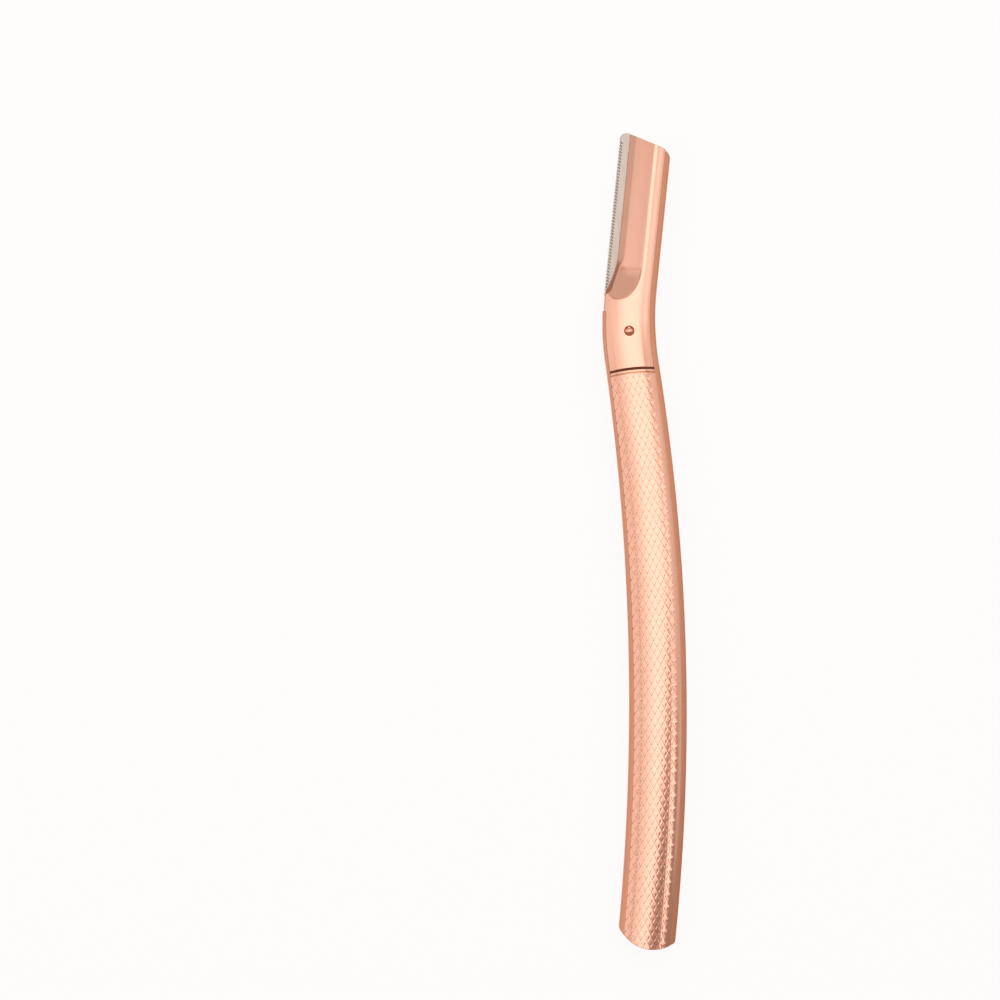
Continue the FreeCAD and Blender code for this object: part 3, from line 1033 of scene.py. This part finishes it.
# plain lip across the top of the scale, with the notch that parts it from the knurl
def lipMesh():
    width = knurl["lipWidth"]

    def rows(length):
        return np.concatenate([edgedRun(length * 0 + width, knurl["lipRows"]).T, length[None]])

    grid = fitGrid(archStation(0), knurlStart, bladeSeam, spineSeam, rows, knurl["lipColumns"], edgeSteps)
    station, offset, run, fromSide = grid
    fromEdge = np.minimum(np.minimum(run, width - run), fromSide)
    lip = knurl["depth"] - edgeDrop(np.maximum(fromEdge, 0), knurl["edgeRound"])
    height = crown(offset) + np.where(run < width - knurl["lipMargin"], lip, 0)
    return plateMesh(centreLine.place(station, offset), height, np.full(height.shape, knurl["under"]))


# 1 on the tops of the knurl, the plain band and the lip, 0 in the grooves and round the butt's rim, where
# shade is painted
def scaleUnshadedShare(piece, flip):
    station, offset, height = surfacePlaces(piece)
    left, right = bladeSeam(station), spineSeam(station)
    sideways = (offset - (left + right) / 2) * gripWidth / (right - left)
    onLip = station < knurlStart(offset) + knurl["lipMargin"]
    # painted shade in the grooves and where the surface sinks round the butt's rim
    share = np.where(onLip | isPlain(sideways, station), 0, grooveShare(sideways, station))
    sunk = crown(offset) + knurl["depth"] - height * flip
    shade = np.interp(sunk, (knurl["shadeFrom"], knurl["shadeTo"]), (0, 1))
    return 1 - np.maximum(share, shade)


knurlPoints, knurlFaces = knurlMesh()
lipPoints, lipFaces = lipMesh()
scalePoints = np.concatenate([knurlPoints, lipPoints])
scaleFaces = knurlFaces + (lipFaces + len(knurlPoints)).tolist()
for name, node, flip in (("front_scale", "front_grip_scale", 1), ("back_scale", "back_grip_scale", -1)):
    piece = makePiece(name, scalePoints * [1, 1, flip], scaleFaces, knurlPlate, knurl["sharpAngle"])
    storeUnshadedShare(piece, scaleUnshadedShare(piece, flip))
    settle(piece, node)


guard = {
    "half": 0.30,  # of the folded foil's thickness, outside and inside
    "innerHalf": 0.18,
    "channel": 0.15,
    "inset": 0.03,
    "depth": 2.6,
    "foot": 0.3,
    "cellWidth": 0.58,
    "cellHeight": 0.58,  # pitch of the teeth
    "columns": 1,
    "rows": 49,
    "gap": 0.17,
    "toothDepth": 0.65,
    "slant": 40.0,
    "footSpare": 4.0,  # plain foil beyond the teeth, before it is cut to length
    "topSpare": 6.0,
    "noseSteps": 7,
    "foldSteps": 5,
    "topPlanes": 12,
    "weld": 0.0005,
    "sharpAngle": 35.0,
}


# the folded foil's outer and inner lines, from its top flap round the nose to its bottom flap
def foilLines():
    centre = guard["inset"] + guard["half"]
    turn = np.radians(np.linspace(90, 270, guard["noseSteps"]))
    nose = np.stack([centre + guard["half"] * np.cos(turn), guard["half"] * np.sin(turn)], -1)
    flap = np.array([[guard["toothDepth"], guard["half"]]])
    outer = np.concatenate([flap, nose, flap * [1, -1]])
    side = np.array([[guard["toothDepth"], guard["innerHalf"]], [centre, guard["innerHalf"]]])
    level = np.linspace(1, -1, guard["foldSteps"]) * guard["innerHalf"]
    fold = np.stack([np.full(guard["foldSteps"], guard["channel"]), level], -1)
    inner = np.concatenate([side, fold, side[::-1] * [1, -1]])
    return outer, inner


# one stretch of foil between two levels, with a slit through its nose half way up
def foilStretch(low, high, gap):
    outer, inner = foilLines()
    quads = []
    slitLow, slitHigh = (low + high - gap) / 2, (low + high + gap) / 2
    solid = [(low, slitLow), (slitHigh, high)] if gap else [(low, high)]
    slit = [(slitLow, slitHigh)] if gap else []

    def quad(*corners):
        quads.append([(x, y, z) for x, z, y in corners])

    def band(line, first, last):
        for a, b in zip(line, line[1:]):
            quad((*a, first), (*b, first), (*b, last), (*a, last))

    for first, last in solid:
        band(outer, first, last)
        band(inner, first, last)
    for side in (1, -1):
        levels = (guard["half"] * side, guard["innerHalf"] * side)
        flaps, backs = [[(x, z) for z in levels] for x in (guard["toothDepth"], guard["depth"])]
        for first, last in solid + slit:
            for flap, back in zip(flaps, backs):
                band([flap, back], first, last)
            band(backs, first, last)
        for first, last in slit:
            band(flaps, first, last)
    for level in np.ravel(slit):
        for n in range(len(outer) - 1):
            quad((*outer[n], level), (*outer[n + 1], level), (*inner[n + 1], level), (*inner[n], level))
    points = np.array(quads).reshape(-1, 3)
    return points, np.arange(len(points)).reshape(-1, 4)


# the blade-side corner of the sloped top, then a stretch of the slope
def topCorner():
    radius = handle["bladeCorner"]
    arc = circlePoints(np.array([radius, cornerRise(radius, radius)]), radius, -pi / 2, topSlope)
    corner = arc[np.linspace(0, len(arc) - 1, guard["topPlanes"]).astype(int)]
    return np.concatenate([corner, corner[-1:] + across(topSlope) * guard["depth"]])


# row of teeth with plain foil beyond both ends, slanted and still too long
def guardBlank():
    pitch, slant = guard["cellHeight"], radians(guard["slant"])
    tooth = foilStretch(-pitch / 2, pitch / 2, guard["gap"] / cos(slant))
    row = repeated(latticeTree("guard_teeth", False), *tooth, guard, guardFoil)
    toothed = np.array([vert.co[:] for vert in row.vertices])
    toothed[:, 1] += guard["foot"] + pitch - np.min(toothed[:, 1])
    low, high = toothed[:, 1].min(), toothed[:, 1].max()
    stretches = [(toothed, [face.vertices for face in row.polygons])]
    for first, last in ((low - guard["footSpare"], low), (high, high + guard["topSpare"])):
        stretches.append(foilStretch(first, last, 0))
    points, faces, count = [], [], 0
    for part, partFaces in stretches:
        points.append(part)
        faces += [[i + count for i in face] for face in partFaces]
        count += len(part)
    flat = np.concatenate(points)
    flat[:, 1] -= flat[:, 0] * tan(slant)
    return newMesh("guard_blank", flat, faces)


def guardMesh():
    planes = [(np.array([0, guard["foot"]]), np.array([0, -1]))]
    planes += curvePlanes(topCorner(), np.array([guard["depth"] / 2, handle["headRise"] / 2]))
    work = trimmed(guardBlank(), planes)
    ends = [edge for edge in work.edges if edge.is_boundary]
    filled = bmesh.ops.holes_fill(work, edges=ends, sides=0)["faces"]
    bmesh.ops.triangulate(work, faces=filled)
    flat, faces = meshArrays(work)
    return np.column_stack([headPlace(flat[:, 0], flat[:, 1]), flat[:, 2]]), faces


toothedGuard = makePiece("toothed_guard", *guardMesh(), guardFoil, guard["sharpAngle"])
settle(toothedGuard, "blade_guard")


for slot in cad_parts["razor_blade"].material_slots:
    slot.material = bladeSteel
print("blade keeps its node and takes ground steel")


studio = {
    "floorColor": (0.93, 0.925, 0.92, 1),
    "floorGlow": 0.85,  # share of its own light in what is seen of it
    "floorBrightness": 1.05,
    "floorSize": 4.0,
    "worldColor": (0.33, 0.255, 0.21, 1),
    "cameraPlace": (-0.02654, 0.00753, 0.7691),
    "lens": 150.0,
    "lampHeight": 1.2,
    "lampStep": 0.01,
}

# soft boxes over the razor, each a little lower than the one before: centre, size, turn and brightness
lamps = {
    "main": ((-0.085, 0.083), (1.35, 0.69), 18, 0.8),
    "key": ((0.062, 0.133), (1.0, 0.685), 18, 0.3),
    "core": ((0.118, 0.154), (0.68, 0.68), 18, 0.2),
    "ridge": ((0.77, 0.05), (0.36, 0.16), 0, 0.62),
    "left": ((-1.06, -0.225), (0.6, 1.05), 0, 0.28),
    "leftMiddle": ((-1.06, -0.15), (0.6, 1.2), 0, 0.21),
    "leftTop": ((-1.06, -0.075), (0.6, 1.35), 0, 0.21),
    "farLeft": ((-2.3, 0.2), (1.9, 1.5), 0, 0.42),
    "right": ((0.925, 0.495), (0.55, 1.21), 0, 0.55),
    "farRight": ((1.7, 0.4), (1.0, 1.4), 0, 0.42),
    "edge": ((0.76, -0.21), (0.30, 0.22), 0, 1.3),
    "top": ((-0.3, 1.0), (2.2, 1.2), 0, 0.36),
    "back": ((0.0, 2.9), (1.8, 1.5), 0, 1.8),
}


def softbox(name, lowered, place, size, turn, brightness):
    lamp = bpy.data.lights.new(name, "AREA")
    lamp.shape = "RECTANGLE"
    lamp.size, lamp.size_y = size
    lamp.energy = brightness * pi * size[0] * size[1]
    box = addObject(name, lamp)
    box.location = (*place, studio["lampHeight"] - lowered)
    box.rotation_euler = (0, 0, radians(turn))
    box.visible_camera = False


# matte, but glowing where it is seen
def floorMaterial():
    material, tree = newMaterial("paleFloor")
    rays = ("Is Camera Ray", "Is Glossy Ray", "Is Transmission Ray")
    camera, glossy, through = [Wire.make(tree, "ShaderNodeLightPath", output=ray) for ray in rays]
    seen = camera + glossy + through
    matte = Wire.make(tree, "ShaderNodeBsdfDiffuse", {"Color": studio["floorColor"]})
    glow = Wire.make(tree, "ShaderNodeEmission", {"Strength": studio["floorBrightness"]})
    mixed = Wire.make(tree, "ShaderNodeMixShader", {0: seen * studio["floorGlow"], 1: matte, 2: glow})
    Wire.make(tree, "ShaderNodeOutputMaterial", {"Surface": mixed})
    return material


def makeFloor():
    half = studio["floorSize"] / 2
    corners = [(-half, -half, 0), (half, -half, 0), (half, half, 0), (-half, half, 0)]
    mesh = newMesh("floor", corners, [(0, 1, 2, 3)])
    mesh.materials.append(floorMaterial())
    floor = addObject("floor", mesh)


def makeStudio():
    for index, (name, settings) in enumerate(lamps.items()):
        softbox(name, index * studio["lampStep"], *settings)
    world = bpy.data.worlds.new("studio")
    world.use_nodes = True
    tree = world.node_tree
    tree.nodes.clear()
    sky = Wire.make(tree, "ShaderNodeBackground", {"Color": studio["worldColor"]})
    Wire.make(tree, "ShaderNodeOutputWorld", {"Surface": sky})
    lens = bpy.data.cameras.new("camera")
    lens.lens = studio["lens"]
    camera = addObject("camera", lens)
    camera.location = studio["cameraPlace"]
    scene = bpy.context.scene
    scene.world, scene.camera = world, camera
    scene.view_settings.view_transform = "Standard"


makeFloor()
makeStudio()
print("floor, lamps and camera placed")
